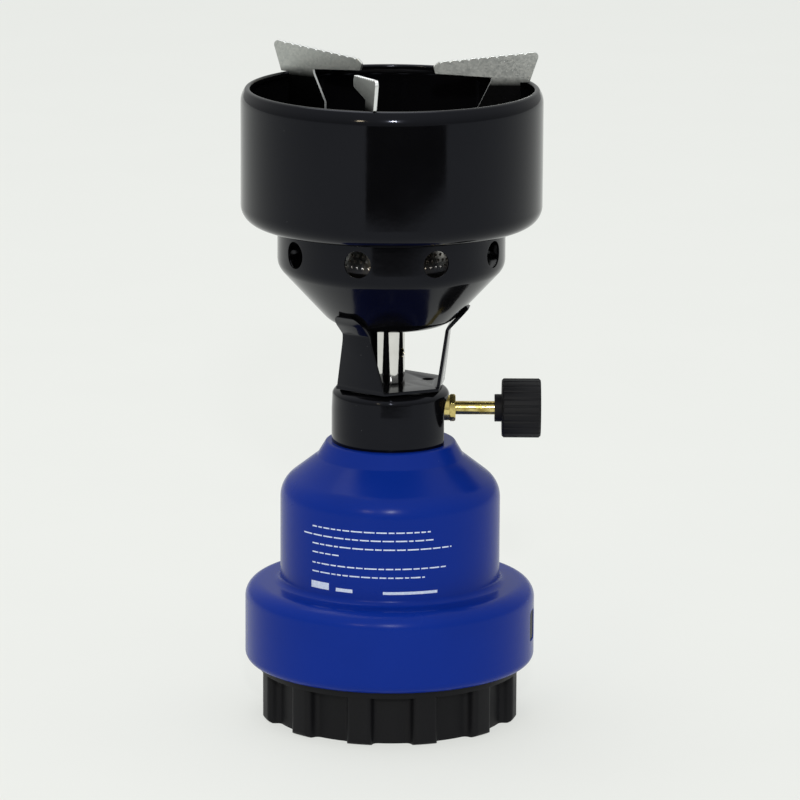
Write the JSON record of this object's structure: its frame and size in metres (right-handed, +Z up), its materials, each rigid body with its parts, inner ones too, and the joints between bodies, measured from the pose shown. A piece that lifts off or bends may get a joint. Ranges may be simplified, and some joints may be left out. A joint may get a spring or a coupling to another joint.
{
  "type": "camping stove",
  "caption": "Single-burner camping stove: gas cartridge in a round screw-base shell, side valve knob, burner bowl, deep round windshield and swivelling pot supports.",
  "frame": {"origin": "on the stove's axis, on the surface that it stands on", "axes": "+Z up the stove's axis, +X along the valve spindle towards the knob"},
  "size_m": [0.1285, 0.1303, 0.2875],
  "materials": {
    "blue_shell": "gloss blue paint",
    "black_paint": "gloss black paint",
    "black_plastic": "moulded, satin black",
    "knob_plastic": "moulded, matt black",
    "brass": "turned",
    "nickel_plate": "bright plated",
    "bright_steel": "zinc plated",
    "stainless": "perforated, bright",
    "galvanised": "galvanised, mottled",
    "tinplate": "tinned",
    "rubber": "moulded",
    "sintered_bronze": "sintered"
  },
  "bodies": {
    "housing": {"body_shell": "blue_shell", "thread_ring": "black_plastic", "cartridge_seal": "rubber", "piercing_needle": "bright_steel", "gas_filter": "sintered_bronze", "valve_body": "brass", "valve_washer": "bright_steel", "valve_clamp_nut": "bright_steel", "packing_nut": "brass", "spindle_packing": "rubber", "valve_cover": "black_paint", "plate_spacer": "bright_steel", "burner_bracket": "black_paint", "gas_jet": "brass", "mixing_tube": "nickel_plate", "burner_bowl": "black_paint", "burner_nut": "bright_steel", "burner_pan": "bright_steel", "burner_head": "stainless", "windshield": "black_paint", "pivot_washers": "galvanised", "pivot_rivets": "bright_steel"},
    "cartridge": {"gas_cartridge": "tinplate"},
    "screw_base": {"base_cup": "black_plastic"},
    "spindle_seal": {"spindle_o_ring": "rubber"},
    "spindle": {"valve_spindle": "brass", "control_knob": "knob_plastic", "knob_insert": "brass", "knob_screw": "bright_steel"},
    "support_1": {"pot_support_1": "galvanised"},
    "support_2": {"pot_support_2": "galvanised"},
    "support_3": {"pot_support_3": "galvanised"}
  },
  "joints": [
    {"name": "cup_lift", "type": "slide", "parent": "housing", "child": "cartridge", "axis": [0, 0, 1], "range_m": [-0.01201, 0]},
    {"name": "cup_turn", "type": "hinge", "parent": "cartridge", "child": "screw_base", "pos_m": [0, 0, 0.03], "axis": [0, 0, 1], "range_deg": [-1080, 0]},
    {"name": "spindle_travel", "type": "slide", "parent": "housing", "child": "spindle_seal", "axis": [1, 0, 0], "range_m": [0, 0.00135]},
    {"name": "knob_turn", "type": "hinge", "parent": "spindle_seal", "child": "spindle", "pos_m": [0.03, 0, 0.1352], "axis": [1, 0, 0], "range_deg": [0, 540]},
    {"name": "support_1_swivel", "type": "hinge", "parent": "housing", "child": "support_1", "pos_m": [-0.00523, -0.04419, 0.2175], "axis": [0, 0, 1], "range_deg": [-109, 71]},
    {"name": "support_2_swivel", "type": "hinge", "parent": "housing", "child": "support_2", "pos_m": [0.04089, 0.01757, 0.2175], "axis": [0, 0, 1], "range_deg": [-68, 112]},
    {"name": "support_3_swivel", "type": "hinge", "parent": "housing", "child": "support_3", "pos_m": [-0.03566, 0.02663, 0.2175], "axis": [0, 0, 1], "range_deg": [-95, 85]}
  ],
  "couplings": [
    {"joint": "cup_lift", "follows": "cup_turn", "m_per_rad": 0.00063662},
    {"joint": "spindle_travel", "follows": "knob_turn", "m_per_rad": 0.00012732}
  ]
}
